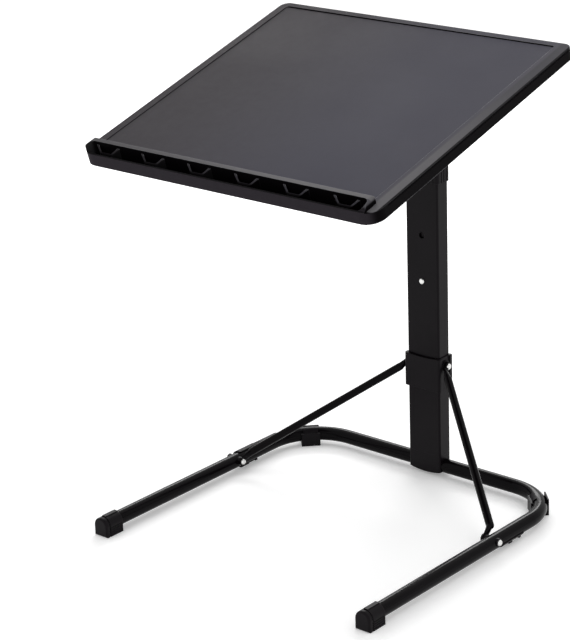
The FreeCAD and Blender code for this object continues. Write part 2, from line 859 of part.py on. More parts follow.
def tray_frame():
    border = tray_prism(0, 0, tray_corner, -skirt_height, 0)
    border = border.makeFillet(rim_rounding, edges_at_height(border, 0))
    ledge_top = panel_bottom
    ledge_low = ledge_top - ledge_thickness
    border = fused([border, lip_rail()])
    border = border.cut(tray_opening(0, 0, ledge_top, rail_height))
    border = border.cut(tray_opening(ledge_width, ledge_width, -skirt_height, ledge_top))
    border = border.cut(rim_groove())
    hollow = tray_prism(skirt_wall, opening_front, tray_rear_corner - skirt_wall, -skirt_height, ledge_low)
    border = border.cut(hollow)
    border = border.cut(lip_trough())
    first = lip_rib_shift - (lip_rib_count - 1) / 2 * lip_rib_pitch
    ribs = [lip_rib(first + i * lip_rib_pitch) for i in range(lip_rib_count)]
    border = fused([border] + ribs)
    for x, t in panel_screw_places():
        border = border.cut(rod_z(screw_diameter / 2 + snug, ledge_low, ledge_top, x, t))
    return border


def panel_screw_places():
    x = tray_width / 2 - rim_width - ledge_width / 2
    front = opening_front + ledge_width / 2
    back = tray_depth - rear_rim_width - ledge_width / 2
    step = (back - front) / (panel_screw_count + 1)
    return [(inner_shift + side * x, front + step * (i + 1))
            for side in (-1, 1) for i in range(panel_screw_count)]


def bracket_screw_places():
    x = bracket_width / 2 - bracket_screw_inset_x
    back = bracket_back() - bracket_screw_inset_t
    front = bracket_back() - bracket_length + bracket_screw_inset_t
    return [(side * x, t) for side in (-1, 1) for t in (front, back)]


def bracket_back():
    return tray_depth - rear_rim_width - ledge_width - bracket_back_margin


def tray_panel():
    board = tray_opening(panel_gap, panel_rear_gap, panel_bottom, panel_top)
    half = tray_width / 2 - rim_width - ledge_width - panel_rib_margin
    left = inner_shift - half
    right = inner_shift + half
    front = opening_front + ledge_width + panel_rib_margin
    back = tray_depth - rear_rim_width - ledge_width - panel_rib_margin
    pieces = [board]
    for i in range(panel_rib_columns):
        x = left + i * (right - left) / (panel_rib_columns - 1)
        pieces.append(block(x - panel_rib_width / 2, x + panel_rib_width / 2, front, back,
                            rib_bottom, panel_bottom))
    for i in range(panel_rib_rows):
        t = front + i * (back - front) / (panel_rib_rows - 1)
        pieces.append(block(left, right, t - panel_rib_width / 2, t + panel_rib_width / 2,
                            rib_bottom, panel_bottom))
    for x, t in bracket_screw_places():
        pieces.append(rod_z(panel_boss_diameter / 2, rib_bottom, panel_bottom, x, t))
    panel = fused(pieces)
    for x, t in bracket_screw_places():
        panel = panel.cut(rod_z(screw_diameter / 2 + snug, rib_bottom, rib_bottom + panel_rib_height, x, t))
    bite = panel_bottom + panel_screw_bite
    for x, t in panel_screw_places():
        panel = panel.cut(rod_z(screw_diameter / 2 + snug, panel_bottom, bite, x, t))
    return panel


def tilt_bracket():
    top = rib_bottom
    low = top - bracket_plate
    back = bracket_back()
    front = back - bracket_length
    half = bracket_width / 2
    plate = block(-half, half, front, back, low, top)
    plate = plate.makeFillet(bracket_screw_inset_x / 2, upright_edges(plate))
    eye = knuckle_diameter / 2
    pieces = [plate]
    for x0 in (cheek_x, -cheek_x - cheek_thickness):
        toe = Vector(x0, front + cheek_toe, low)
        heel = Vector(x0, back, low)
        reach = Vector(x0, hinge_t + eye, -hinge_drop)
        under = Vector(x0, hinge_t - eye / 2, -hinge_drop - eye)
        cheek = outline_face([toe, heel, reach, under, Vector(x0, front + cheek_toe, low - cheek_toe)])
        pieces.append(cheek.extrude(X_AXIS * cheek_thickness))
        pieces.append(rod_x(eye, x0, x0 + cheek_thickness, hinge_t, -hinge_drop))
    body = fused(pieces)
    body = body.cut(rod_x(bolt_diameter / 2 + snug, -half, half, hinge_t, -hinge_drop))
    for x, t in bracket_screw_places():
        body = body.cut(rod_z(screw_diameter / 2 + snug, low, top, x, t))
    return body


def bracket_screws():
    low = rib_bottom - bracket_plate
    return [screw(x, t, low, Z_AXIS, screw_length) for x, t in bracket_screw_places()]


def panel_screws():
    low = panel_bottom - ledge_thickness
    length = ledge_thickness + panel_screw_bite
    return [screw(x, t, low, Z_AXIS, length) for x, t in panel_screw_places()]


os.makedirs("parts", exist_ok=True)

save("base_tube", [base_tube()])
save("right_end_cap", [end_cap()])
save("left_end_cap", [mirrored(end_cap())])
save("right_corner_foot", [corner_foot()])
save("left_corner_foot", [mirrored(corner_foot())])
save("right_leg_clip", [leg_clip(leg_x)])
save("left_leg_clip", [leg_clip(-leg_x)])
right_spacers = [pivot_spacer(-1), pivot_spacer(1)]
save("leg_pivot_spacers", right_spacers + [mirrored(s) for s in right_spacers])
save("leg_pivot_rivets", [leg_rivet(), mirrored(leg_rivet())])

save("right_brace", [brace()])
save("left_brace", [mirrored(brace())])
save("right_brace_rivet", [brace_rivet()])
save("left_brace_rivet", [mirrored(brace_rivet())])

save("outer_post", [outer_post()])
save("post_saddle", [post_saddle()])
save("saddle_screws", saddle_screws())
save("post_guide", [post_guide()])
save("brace_collar", [brace_collar()])
save("collar_bolts", [collar_bolt(), mirrored(collar_bolt())])

save("inner_post", [inner_post()])
save("post_glide", [post_glide()])
save("post_head", [post_head()])
save("head_screws", head_screws())
save("hinge_bolt", [hinge_bolt()])
save("hinge_washers", [hinge_washer(), mirrored(hinge_washer())])
save("tilt_knob", [tilt_knob()])
save("knob_nut", [knob_nut()])
save("snap_button", [snap_button()])
save("button_spring", [button_spring()])

save("tray_frame", [seat_tray(tray_frame())])
save("tray_panel", [seat_tray(tray_panel())])
save("tilt_bracket", [seat_tray(tilt_bracket())])
save("bracket_screws", [seat_tray(s) for s in bracket_screws()])
save("panel_screws", [seat_tray(s) for s in panel_screws()])
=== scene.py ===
import json
import math

import bmesh
import bpy
from mathutils import Matrix, Vector


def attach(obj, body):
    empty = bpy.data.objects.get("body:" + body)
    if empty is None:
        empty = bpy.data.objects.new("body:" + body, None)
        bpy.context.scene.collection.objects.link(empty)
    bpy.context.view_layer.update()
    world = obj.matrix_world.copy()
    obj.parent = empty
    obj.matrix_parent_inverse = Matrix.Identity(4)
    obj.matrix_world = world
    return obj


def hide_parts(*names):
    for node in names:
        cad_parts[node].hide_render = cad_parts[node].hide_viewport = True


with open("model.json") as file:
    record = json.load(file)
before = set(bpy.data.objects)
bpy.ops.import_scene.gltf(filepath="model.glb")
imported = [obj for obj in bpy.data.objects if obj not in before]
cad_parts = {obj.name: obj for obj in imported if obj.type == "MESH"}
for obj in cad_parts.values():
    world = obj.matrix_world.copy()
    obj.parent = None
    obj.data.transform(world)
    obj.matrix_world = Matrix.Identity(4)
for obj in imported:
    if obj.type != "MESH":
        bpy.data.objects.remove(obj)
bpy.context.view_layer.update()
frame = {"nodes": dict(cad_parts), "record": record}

nodes = frame["nodes"]

# Camera fitted to the photograph, in metres and pixels of a 570 by 640 frame
IMAGE_WIDTH = 570
FOCAL_PIXELS = 2278.27
CAMERA_YAW = math.radians(41.156)
CAMERA_PITCH = math.radians(20.058)
CAMERA_ROLL = math.radians(-2.032)
CAMERA_DISTANCE = 3.42451
CAMERA_TARGET = Vector((-0.15567, 0.07848, 0.25980))
SENSOR_WIDTH = 36.0
CAMERA_REACH = 50.0

# World directions, and the tray's own: from its front edge to the rear, and up from its rim
ACROSS = Vector((1, 0, 0))
REARWARD = Vector((0, 1, 0))
UPRIGHT = Vector((0, 0, 1))
TRAY_TILT = math.radians(16.2)
TRAY_REARWARD = Vector((0, math.cos(TRAY_TILT), math.sin(TRAY_TILT)))
TRAY_UP = Vector((0, -math.sin(TRAY_TILT), math.cos(TRAY_TILT)))
# The tilt hinge, and how far it lies behind the tray's front edge and below its rim
HINGE = Vector((0, 0.228475, 0.6501))
HINGE_ROW = 0.4546
HINGE_DROP = 0.055


def tray_point(x, row, height):
    """World place of a point of the tray: across, behind the front edge, above the rim."""
    return HINGE + ACROSS * x + TRAY_REARWARD * (row - HINGE_ROW) + TRAY_UP * (height + HINGE_DROP)


def photo_camera():
    forward = Vector((-math.sin(CAMERA_YAW) * math.cos(CAMERA_PITCH),
                      math.cos(CAMERA_YAW) * math.cos(CAMERA_PITCH), -math.sin(CAMERA_PITCH)))
    level = Vector((math.cos(CAMERA_YAW), math.sin(CAMERA_YAW), 0))
    upright = level.cross(forward)
    right = level * math.cos(CAMERA_ROLL) + upright * math.sin(CAMERA_ROLL)
    up = upright * math.cos(CAMERA_ROLL) - level * math.sin(CAMERA_ROLL)
    place = CAMERA_TARGET - forward * CAMERA_DISTANCE
    data = bpy.data.cameras.new("photo_camera")
    data.sensor_fit = "HORIZONTAL"
    data.sensor_width = SENSOR_WIDTH
    data.lens = FOCAL_PIXELS * SENSOR_WIDTH / IMAGE_WIDTH
    data.clip_end = CAMERA_REACH
    camera = bpy.data.objects.new("photo_camera", data)
    turn = Matrix((right, up, -forward)).transposed().to_4x4()
    camera.matrix_world = Matrix.Translation(place) @ turn
    bpy.context.scene.collection.objects.link(camera)
    bpy.context.scene.camera = camera


# Sockets of a Mix node that mixes colours
MIX_SHARE = 0
MIX_UNDER = 6
MIX_OVER = 7
MIX_RESULT = 2


class Shader:
    """A node tree with short calls for adding, joining and setting nodes."""

    def __init__(self, tree):
        self.tree = tree

    def add(self, kind, **values):
        node = self.tree.nodes.new(kind)
        for name, value in values.items():
            setattr(node, name, value)
        return node

    def put(self, node, **values):
        """Sets inputs of a node by their names, with underscores for spaces."""
        for name, value in values.items():
            node.inputs[name.replace("_", " ")].default_value = value

    def join(self, a, a_socket, b, b_socket):
        self.tree.links.new(a.outputs[a_socket], b.inputs[b_socket])

    def scaled(self, a, a_socket, share=1.0):
        node = self.add("ShaderNodeMath", operation="MULTIPLY", use_clamp=True)
        self.join(a, a_socket, node, 0)
        node.inputs[1].default_value = share
        return node

    def multiply(self, a, a_socket, b, b_socket):
        node = self.scaled(a, a_socket)
        self.join(b, b_socket, node, 1)
        return node

    def tint(self, mask, under, over):
        """Lays a colour over the colour of another Mix node, by the first output of a mask node."""
        mix = self.add("ShaderNodeMix", data_type="RGBA")
        self.join(mask, 0, mix, MIX_SHARE)
        self.join(under, MIX_RESULT, mix, MIX_UNDER)
        mix.inputs[MIX_OVER].default_value = (*over, 1)
        return mix


def new_group(name, inputs, outputs):
    """An empty shader node group with float inputs, and its input and output nodes."""
    tree = bpy.data.node_groups.new(name, "ShaderNodeTree")
    for label, value in inputs.items():
        socket = tree.interface.new_socket(label, in_out="INPUT", socket_type="NodeSocketFloat")
        socket.default_value = value
    for label, kind in outputs.items():
        tree.interface.new_socket(label, in_out="OUTPUT", socket_type=kind)
    s = Shader(tree)
    return s, s.add("NodeGroupInput"), s.add("NodeGroupOutput")


# Noises of the groups, and the spans of them that are stretched to a mask
GRAIN_NOISE = {"Detail": 3.0, "Roughness": 0.55}
CLOUD_NOISE = {"Scale": 7.0, "Detail": 4.0, "Roughness": 0.6}
BLOTCH_NOISE = {"Scale": 75.0, "Detail": 5.0, "Roughness": 0.7}
EDGE_PATCH_NOISE = {"Detail": 5.0, "Roughness": 0.65}
NOISE_SPAN = {"From_Min": 0.3, "From_Max": 0.7}
EDGE_PATCH_SPAN = {"From_Min": 0.40, "From_Max": 0.62, "To_Min": 0.45}
# Cosines between a face and the rounding of its edge, where worn colour and painted highlight start and where
# they are full
EDGE_SPAN = {"From_Min": 0.995, "From_Max": 0.86}
# Cosines between a face and the way it should look, where its painted light and shade start and where they are
# full
FACING_SPAN = {"From_Min": 0.35, "From_Max": 0.95}
GRAIN_EDGE_SAMPLES = 4
EDGE_MASK_SAMPLES = 8


def fine_grain_group():
    """Grain of moulded and coated surfaces: a fine bump on eased edges, slow drifts of tone, and mottling."""
    s, given, out = new_group("fine_grain",
                              {"Grain Scale": 900.0, "Grain Depth": 0.00004, "Edge Radius": 0.0006},
                              {"Normal": "NodeSocketVector", "Cloud": "NodeSocketFloat",
                               "Mottle": "NodeSocketFloat"})
    place = s.add("ShaderNodeTexCoord")
    grain = s.add("ShaderNodeTexNoise")
    s.put(grain, **GRAIN_NOISE)
    cloud = s.add("ShaderNodeTexNoise")
    s.put(cloud, **CLOUD_NOISE)
    blotch = s.add("ShaderNodeTexNoise")
    s.put(blotch, **BLOTCH_NOISE)
    spread = s.add("ShaderNodeMapRange")
    s.put(spread, **NOISE_SPAN)
    uneven = s.add("ShaderNodeMapRange")
    s.put(uneven, **NOISE_SPAN)
    bump = s.add("ShaderNodeBump")
    edge = s.add("ShaderNodeBevel", samples=GRAIN_EDGE_SAMPLES)
    for texture in (grain, cloud, blotch):
        s.join(place, "Object", texture, "Vector")
    s.join(given, "Grain Scale", grain, "Scale")
    s.join(given, "Grain Depth", bump, "Distance")
    s.join(given, "Edge Radius", edge, "Radius")
    s.join(grain, "Fac", bump, "Height")
    s.join(edge, "Normal", bump, "Normal")
    s.join(cloud, "Fac", spread, "Value")
    s.join(blotch, "Fac", uneven, "Value")
    s.join(bump, "Normal", out, "Normal")
    s.join(spread, "Result", out, "Cloud")
    s.join(uneven, "Result", out, "Mottle")
    return s.tree


def worn_and_lit_edge_group():
    """Mask of the edges that hands and floors scuff, and of edges lightened into painted highlights, broken up
    by a coarse noise.
    """
    s, given, out = new_group("lit_and_worn_edge_mask", {"Edge Radius": 0.0010, "Patch Scale": 60.0},
                              {"Mask": "NodeSocketFloat"})
    place = s.add("ShaderNodeTexCoord")
    face = s.add("ShaderNodeNewGeometry")
    edge = s.add("ShaderNodeBevel", samples=EDGE_MASK_SAMPLES)
    facing = s.add("ShaderNodeVectorMath", operation="DOT_PRODUCT")
    rounding = s.add("ShaderNodeMapRange")
    s.put(rounding, **EDGE_SPAN)
    edge_patches = s.add("ShaderNodeTexNoise")
    s.put(edge_patches, **EDGE_PATCH_NOISE)
    patches = s.add("ShaderNodeMapRange")
    s.put(patches, **EDGE_PATCH_SPAN)
    s.join(given, "Edge Radius", edge, "Radius")
    s.join(edge, "Normal", facing, 0)
    s.join(face, "True Normal", facing, 1)
    s.join(facing, "Value", rounding, "Value")
    s.join(place, "Object", edge_patches, "Vector")
    s.join(given, "Patch Scale", edge_patches, "Scale")
    s.join(edge_patches, "Fac", patches, "Value")
    s.join(s.multiply(rounding, "Result", patches, "Result"), 0, out, "Mask")
    return s.tree


def facing_group():
    """Mask of the faces that look the given way, such as the tray's upper faces."""
    s, given, out = new_group("faces_that_look", {"Way X": 0.0, "Way Y": 0.0, "Way Z": 1.0},
                              {"Mask": "NodeSocketFloat"})
    place = s.add("ShaderNodeTexCoord")
    way = s.add("ShaderNodeCombineXYZ")
    facing = s.add("ShaderNodeVectorMath", operation="DOT_PRODUCT")
    level = s.add("ShaderNodeMapRange", interpolation_type="SMOOTHSTEP")
    s.put(level, **FACING_SPAN)
    for axis in "XYZ":
        s.join(given, "Way " + axis, way, axis)
    s.join(place, "Normal", facing, 0)
    s.join(way, "Vector", facing, 1)
    s.join(facing, "Value", level, "Value")
    s.join(level, "Result", out, "Mask")
    return s.tree


def band_group():
    """Mask that rises along a direction, from a start to an end in metres."""
    s, given, out = new_group("band_along",
                              {"Along X": 0.0, "Along Y": 0.0, "Along Z": 1.0, "Start": 0.0, "End": 1.0},
                              {"Mask": "NodeSocketFloat"})
    place = s.add("ShaderNodeTexCoord")
    along = s.add("ShaderNodeCombineXYZ")
    reach = s.add("ShaderNodeVectorMath", operation="DOT_PRODUCT")
    level = s.add("ShaderNodeMapRange", interpolation_type="SMOOTHSTEP")
    for axis in "XYZ":
        s.join(given, "Along " + axis, along, axis)
    s.join(place, "Object", reach, 0)
    s.join(along, "Vector", reach, 1)
    s.join(reach, "Value", level, "Value")
    s.join(given, "Start", level, "From Min")
    s.join(given, "End", level, "From Max")
    s.join(level, "Result", out, "Mask")
    return s.tree


GRAIN = fine_grain_group()
WORN_AND_LIT_EDGE_MASK = worn_and_lit_edge_group()
FACING = facing_group()
BAND = band_group()

# Share of a face's painted light and shade where its mottling is strongest
MOTTLED = 0.88


def tray_rows(start, end):
    """Band that rises from one row of the tray to another, in metres behind its front edge."""
    front = tray_point(0, 0, 0).dot(TRAY_REARWARD)
    return (TRAY_REARWARD, front + start, front + end)


def tray_heights(start, end):
    """Band that rises from one height above the tray's rim to another, in metres."""
    rim = tray_point(0, 0, 0).dot(TRAY_UP)
    return (TRAY_UP, rim + start, rim + end)


def band_mask(s, mask, bands):
    """Limits a mask node to the overlap of some bands."""
    for along, start, end in bands:
        band = s.add("ShaderNodeGroup", node_tree=BAND)
        s.put(band, Along_X=along.x, Along_Y=along.y, Along_Z=along.z, Start=start, End=end)
        mask = s.multiply(mask, 0, band, "Mask")
    return mask


def painted_light_and_shade(colour, way, *bands):
    """Faces with painted light and shade: the way they look, and the bands that limit them."""
    return colour, way, bands


def worn_and_highlit(radius, share, colour, *bands):
    """Worn edges, and edges lightened into painted highlights: their rounding, how much of their colour shows,
    and the bands that limit them.
    """
    return radius, share, colour, bands


def finish(name, dark, light, gloss, grain, faces=(), worn_and_lit_edges=(), metallic=0.0, specular=0.5, eased=0.0006):
    """Opaque finish: tone and gloss drift slowly over a fine grain, with painted light and shade on faces, worn
    edges, and edges lightened into painted highlights.

    gloss is (lowest, highest) roughness, grain (scale, depth) and eased the edges' rounding."""
    material = bpy.data.materials.new(name)
    material.use_nodes = True
    s = Shader(material.node_tree)
    body = material.node_tree.nodes["Principled BSDF"]
    s.put(body, Metallic=metallic, Specular_IOR_Level=specular)
    surface = s.add("ShaderNodeGroup", node_tree=GRAIN)
    s.put(surface, Grain_Scale=grain[0], Grain_Depth=grain[1], Edge_Radius=eased)
    colour = s.add("ShaderNodeMix", data_type="RGBA")
    s.join(surface, "Cloud", colour, MIX_SHARE)
    colour.inputs[MIX_UNDER].default_value = (*dark, 1)
    colour.inputs[MIX_OVER].default_value = (*light, 1)
    for over, way, bands in faces:
        look = s.add("ShaderNodeGroup", node_tree=FACING)
        s.put(look, Way_X=way.x, Way_Y=way.y, Way_Z=way.z)
        uneven = s.add("ShaderNodeMapRange")
        s.put(uneven, To_Min=MOTTLED, To_Max=1.0)
        s.join(surface, "Mottle", uneven, "Value")
        colour = s.tint(band_mask(s, s.multiply(look, "Mask", uneven, "Result"), bands), colour, over)
    for radius, share, over, bands in worn_and_lit_edges:
        edge_patches = s.add("ShaderNodeGroup", node_tree=WORN_AND_LIT_EDGE_MASK)
        s.put(edge_patches, Edge_Radius=radius)
        colour = s.tint(band_mask(s, s.scaled(edge_patches, "Mask", share), bands), colour, over)
    shine = s.add("ShaderNodeMapRange")
    s.put(shine, To_Min=gloss[0], To_Max=gloss[1])
    s.join(surface, "Cloud", shine, "Value")
    s.join(colour, MIX_RESULT, body, "Base Color")
    s.join(shine, "Result", body, "Roughness")
    s.join(surface, "Normal", body, "Normal")
    return material


# Bands along the tray, from its front edge to the rear
FRONT_WALL = tray_rows(0.014, 0.002)
BEHIND_SILL = tray_rows(0.004, 0.008)
BEHIND_TROUGH = tray_rows(0.018, 0.024)
TOWARDS_FRONT = tray_rows(0.40, 0.08)
PANEL_REAR_EDGE = tray_rows(0.4521, 0.4525)
# Bands across the tray, from its middle
LEFT_HALF = (ACROSS, 0.0, -0.05)
TOWARDS_RIGHT = (ACROSS, -0.24, 0.16)
INSIDE_RIGHT_RIM = (ACROSS, 0.252, 0.248)
RIGHT_RIM = (ACROSS, 0.240, 0.245)
RIGHT_EDGE = (ACROSS, 0.2560, 0.2575)
# Bands of height, from the tray's rim and, for the column, from the floor
SKIRT_BOTTOM = tray_heights(-0.0135, -0.0155)
ABOVE_RIM = tray_heights(0.001, 0.003)
ABOVE_SADDLE = (UPRIGHT, 0.05, 0.09)
# Areas of the tray that need more than one band: all that lies behind the front wall, and the stop rail's top
BEHIND_FRONT_WALL = (tray_rows(0.005, 0.009), tray_heights(-0.004, -0.001))
RAIL_TOP = (tray_rows(0.0195, 0.0212), tray_rows(0.0300, 0.0285), tray_heights(0.006, 0.008))

BLACK_TUBE = finish(
    "black_gloss_tube_coat", dark=(0.0022, 0.0016, 0.0022), light=(0.0034, 0.0026, 0.0034),
    gloss=(0.13, 0.22), grain=(600.0, 0.00002), specular=0.06,
    worn_and_lit_edges=[worn_and_highlit(0.0006, 0.25, (0.03, 0.029, 0.03))])
# The column's edges above the saddle: scuffed paint, lightened further into painted highlight lines
COLUMN_COAT = finish(
    "black_satin_column_coat", dark=(0.0038, 0.0027, 0.0038), light=(0.0060, 0.0044, 0.0060),
    gloss=(0.26, 0.36), grain=(900.0, 0.00003), specular=0.09,
    worn_and_lit_edges=[worn_and_highlit(0.0009, 0.6, (0.055, 0.053, 0.055), ABOVE_SADDLE)])
BLACK_MOULDING = finish(
    "black_moulded_plastic", dark=(0.0046, 0.0034, 0.0046), light=(0.0072, 0.0056, 0.0072),
    gloss=(0.36, 0.48), grain=(1100.0, 0.00003), specular=0.09, eased=0.0008,
    worn_and_lit_edges=[worn_and_highlit(0.0008, 0.4, (0.024, 0.022, 0.024))])
# In turn, painted light and shade: upper faces of rim and ribs lit, lighter towards the right; the right rim
# lit, lightest towards the front; a painted dark line on the right rim's outer edge; a painted highlight on the
# stop rail's top, brighter towards the right; the front wall, then the lip's left end, lit lighter than the
# other side faces
TRAY_FRAME = finish(
    "charcoal_tray_frame", dark=(0.0022, 0.0017, 0.0023), light=(0.0030, 0.0024, 0.0031),
    gloss=(0.42, 0.55), grain=(900.0, 0.00004), specular=0.02, eased=0.0010,
    faces=[painted_light_and_shade((0.057, 0.052, 0.057), TRAY_UP, *BEHIND_FRONT_WALL),
           painted_light_and_shade((0.075, 0.072, 0.087), TRAY_UP, *BEHIND_FRONT_WALL, TOWARDS_RIGHT),
           painted_light_and_shade((0.057, 0.055, 0.062), TRAY_UP, *BEHIND_FRONT_WALL, RIGHT_RIM),
           painted_light_and_shade((0.120, 0.116, 0.123), TRAY_UP, *BEHIND_FRONT_WALL, RIGHT_RIM, TOWARDS_FRONT),
           painted_light_and_shade((0.003, 0.0025, 0.003), TRAY_UP, RIGHT_EDGE),
           painted_light_and_shade((0.092, 0.088, 0.093), TRAY_UP, *RAIL_TOP),
           painted_light_and_shade((0.146, 0.142, 0.148), TRAY_UP, *RAIL_TOP, TOWARDS_RIGHT),
           painted_light_and_shade((0.0290, 0.0250, 0.0305), -TRAY_REARWARD, FRONT_WALL),
           painted_light_and_shade((0.042, 0.040, 0.043), ACROSS, LEFT_HALF)],
    # Edges lightened into painted highlights: behind the trough towards the right inside the right rim, along
    # the stop rail above the rim, and along the right skirt's bottom edge
    worn_and_lit_edges=[worn_and_highlit(0.0012, 0.9, (0.26, 0.26, 0.27), BEHIND_TROUGH, TOWARDS_RIGHT, INSIDE_RIGHT_RIM),
          worn_and_highlit(0.0014, 0.9, (0.24, 0.24, 0.25), ABOVE_RIM, BEHIND_SILL),
          worn_and_highlit(0.0012, 1.0, (0.32, 0.32, 0.33), RIGHT_EDGE, SKIRT_BOTTOM)])
# Painted light and shade on the panel: upper faces lit, lighter towards the right, and a painted shadow line
# along its rear edge
TRAY_PANEL = finish(
    "charcoal_tray_panel", dark=(0.0045, 0.0040, 0.0047), light=(0.0058, 0.0052, 0.0060),
    gloss=(0.45, 0.58), grain=(1200.0, 0.00005), specular=0.02,
    faces=[painted_light_and_shade((0.0635, 0.0590, 0.0645), TRAY_UP),
           painted_light_and_shade((0.0670, 0.0655, 0.0825), TRAY_UP, TOWARDS_RIGHT),
           painted_light_and_shade((0.0020, 0.0020, 0.0020), TRAY_UP, PANEL_REAR_EDGE)])
BRIGHT_STEEL = finish(
    "bright_plated_steel", dark=(0.70, 0.70, 0.69), light=(0.82, 0.82, 0.81),
    gloss=(0.16, 0.26), grain=(300.0, 0.00001), metallic=1.0)
SCREW_STEEL = finish(
    "zinc_plated_steel", dark=(0.40, 0.40, 0.41), light=(0.55, 0.55, 0.54),
    gloss=(0.28, 0.42), grain=(500.0, 0.00001), metallic=1.0)
SLOT_FINISHES = {"black_steel": BLACK_TUBE, "black_plastic": BLACK_MOULDING, "tray_plastic": TRAY_FRAME,
                 "bright_steel": BRIGHT_STEEL, "screw_steel": SCREW_STEEL}
NODE_FINISHES = {"outer_post": COLUMN_COAT, "inner_post": COLUMN_COAT, "post_saddle": COLUMN_COAT,
                 "tray_panel": TRAY_PANEL}


def dress_nodes():
    for part in frame["record"]["subparts"]:
        mesh = nodes[part["node"]].data
        mesh.materials.clear()
        mesh.materials.append(NODE_FINISHES.get(part["node"], SLOT_FINISHES[part["material_slot"]]))


SMOOTH_ANGLE = math.radians(32)


def add_piece(name, shape, slot, body, replaced=()):
    """Turns a finished shape into a smooth piece that takes a slot's finish and moves with a body."""
    bmesh.ops.recalc_face_normals(shape, faces=shape.faces)
    mesh = bpy.data.meshes.new(name)
    shape.to_mesh(mesh)
    shape.free()
    mesh.materials.append(SLOT_FINISHES[slot])
    mesh.shade_smooth()
    mesh.set_sharp_from_angle(angle=SMOOTH_ANGLE)
    piece = bpy.data.objects.new(name, mesh)
    bpy.context.scene.collection.objects.link(piece)
    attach(piece, body)
    if replaced:
        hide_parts(*replaced)


def edges_at(points):
    """The edges that end at some points, each once and always in the same order."""
    return list(dict.fromkeys(e for point in points for e in point.link_edges))


def ease(shape, edges, offset, segments):
    bmesh.ops.bevel(shape, geom=edges, offset=offset, offset_type="OFFSET", segments=segments, profile=0.5,
                    affect="EDGES", material=-1, clamp_overlap=True)


HEAD_SEGMENTS = 24
QUARTER = HEAD_SEGMENTS // 4
# Shares of its radius at which a cross recess keeps each point of a quarter circle: arm, flank, inner corner
CROSS_ARMS = (1.0, 1.0, 0.52, 0.366, 0.52, 1.0)


def next_ring(shape, ring):
    """Extrudes a ring of edges in its place, and returns the new ring and its points."""
    made = bmesh.ops.extrude_edge_only(shape, edges=ring)["geom"]
    points = [v for v in made if isinstance(v, bmesh.types.BMVert)]
    held = set(points)
    return [e for e in made if isinstance(e, bmesh.types.BMEdge) and set(e.verts) <= held], points


def turned(shape, profile, axis, place, recess=0.0):
    """Adds a head with its shank: rings through a profile of (radius, height), with a cross recess if deep.

    The profile starts at the middle of the head's top and ends at the shank's tip. Heights are along axis
    from place."""
    before = set(shape.verts)
    radius, top = profile[0]
    first = bmesh.ops.create_circle(shape, cap_ends=True, segments=HEAD_SEGMENTS, radius=radius)["verts"]
    bmesh.ops.translate(shape, vec=(0, 0, top - recess), verts=first)
    ring = edges_at(first)
    if recess:
        for v in first:
            arm = round(math.atan2(v.co.y, v.co.x) / math.tau * HEAD_SEGMENTS) % QUARTER
            v.co.x *= CROSS_ARMS[arm]
            v.co.y *= CROSS_ARMS[arm]
        ring, points = next_ring(shape, ring)
        bmesh.ops.translate(shape, vec=(0, 0, recess), verts=points)
    for radius, height in profile[1:]:
        ring, points = next_ring(shape, ring)
        for point in points:
            flat = Vector((point.co.x, point.co.y, 0)).normalized() * radius
            point.co = Vector((flat.x, flat.y, height))
    bmesh.ops.contextual_create(shape, geom=ring)
    added = [v for v in shape.verts if v not in before]
    turn = UPRIGHT.rotation_difference(axis).to_matrix().to_4x4()
    bmesh.ops.transform(shape, matrix=Matrix.Translation(place) @ turn, verts=added)


# Rivet and bolt heads with a rolled rim, a low dome and a shallow dimple: radius and height, in metres
RIVET_HEAD = ((0.0010, 0.0022), (0.0016, 0.0025), (0.0021, 0.0030), (0.0029, 0.0029), (0.0037, 0.0023),
              (0.0043, 0.0015), (0.0046, 0.0010), (0.00475, 0.0005), (0.00475, 0.0), (0.0030, 0.0))
PIVOT_Y = 0.051475
PIVOT_Z = 0.0185
LEG_RIVET_SEAT = 0.2572
LEG_RIVET_SHANK = 0.0244
BRACE_RIVET_SEAT = 0.2285
BRACE_RIVET_SHANK = 0.0040
COLLAR_BOLT_SEAT = 0.0376
COLLAR_BOLT_SHANK = 0.0078
COLLAR_PIVOT_Z = 0.1810
# Pan-head screws with a cross recess: radius and height of the head, then where they sit
SCREW_HEAD = ((0.0017, 0.0022), (0.0020, 0.0022), (0.0027, 0.0019), (0.0032, 0.0013), (0.0035, 0.0005),
              (0.0035, 0.0), (0.00175, 0.0))
SCREW_RECESS = 0.0013
SCREW_SHANK = 0.0090
PANEL_SCREW_SHANK = 0.0060
SADDLE_SCREW_X = 0.015
SADDLE_SCREW_Y = 0.241725
SADDLE_SCREW_Z = 0.055
HEAD_SCREW_X = 0.013
HEAD_SCREW_Y = 0.238475
HEAD_SCREW_Z = 0.6141
BRACKET_SCREW_X = 0.048
BRACKET_SCREW_ROWS = (0.3635, 0.4295)
BRACKET_SCREW_SEAT = -0.0155
PANEL_SCREW_X = (-0.242, 0.232)
PANEL_SCREW_ROWS = (0.13775, 0.2420, 0.34625)
PANEL_SCREW_SEAT = -0.0080
SIDES = (-1, 1)


def rivet_heads(name, body, replaced, shank, heads):
    """A piece of rivet or bolt heads, each with its axis and place."""
    shape = bmesh.new()
    for axis, place in heads:
        turned(shape, (*RIVET_HEAD, (RIVET_HEAD[-1][0], -shank)), axis, place)
    add_piece(name, shape, "bright_steel", body, [replaced])


